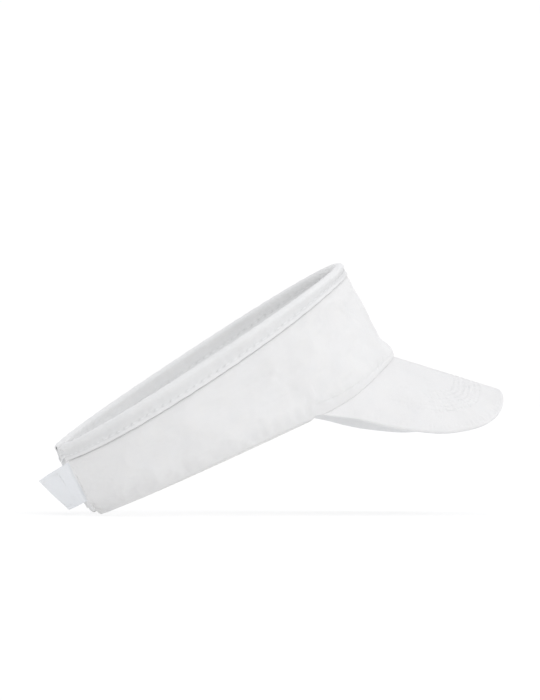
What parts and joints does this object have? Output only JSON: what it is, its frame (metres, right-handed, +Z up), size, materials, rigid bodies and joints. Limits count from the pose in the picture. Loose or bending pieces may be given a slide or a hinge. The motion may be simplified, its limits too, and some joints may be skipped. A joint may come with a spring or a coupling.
{
  "type": "sun visor",
  "caption": "Cotton sun visor: open-topped head band with a rim binding, a curved stitched brim and a hook-and-loop tape across the gap at the back.",
  "frame": {"origin": "middle of the head opening, 25 mm above the plane of the band's lower edge", "axes": "+X to the wearer's left, -Y forward along the brim, +Z up on an upright head; the band is tipped 24.6 degrees, front up"},
  "size_m": [0.1594, 0.275, 0.1515],
  "materials": {
    "white_twill": "matt cotton twill",
    "lining_cotton": "matt cotton",
    "buckram": "open woven, starched",
    "binding_tape": "folded cotton tape",
    "terry": "looped terry",
    "padding_foam": "soft foam",
    "brim_board": "smooth board",
    "hook_tape": "close woven nylon tape",
    "hook_field": "stiff nylon hooks",
    "loop_pile": "brushed nylon loops"
  },
  "bodies": {
    "visor": {"crown_shell": "white_twill", "crown_lining": "lining_cotton", "front_stiffener": "buckram", "top_binding": "binding_tape", "sweatband": "terry", "sweatband_padding": "padding_foam", "brim_top_cover": "white_twill", "brim_board": "brim_board", "brim_under_cover": "white_twill", "strap_base": "hook_tape"},
    "left_side": {"crown_shell_left": "white_twill", "crown_lining_left": "lining_cotton", "top_binding_left": "binding_tape", "sweatband_left": "terry", "sweatband_padding_left": "padding_foam", "loop_patch": "loop_pile"},
    "strap": {"hook_strap": "hook_tape", "hook_field": "hook_field"}
  },
  "joints": [
    {"name": "size_adjust", "type": "hinge", "parent": "visor", "child": "left_side", "pos_m": [0.0738, -0.01137, 0.0052], "axis": [0, 0.4163, 0.9092], "range_deg": [0, 10]},
    {"name": "strap_peel", "type": "hinge", "parent": "visor", "child": "strap", "pos_m": [-0.014, 0.09286, -0.04317], "axis": [0, 0.4163, 0.9092], "range_deg": [-4, 120]}
  ]
}
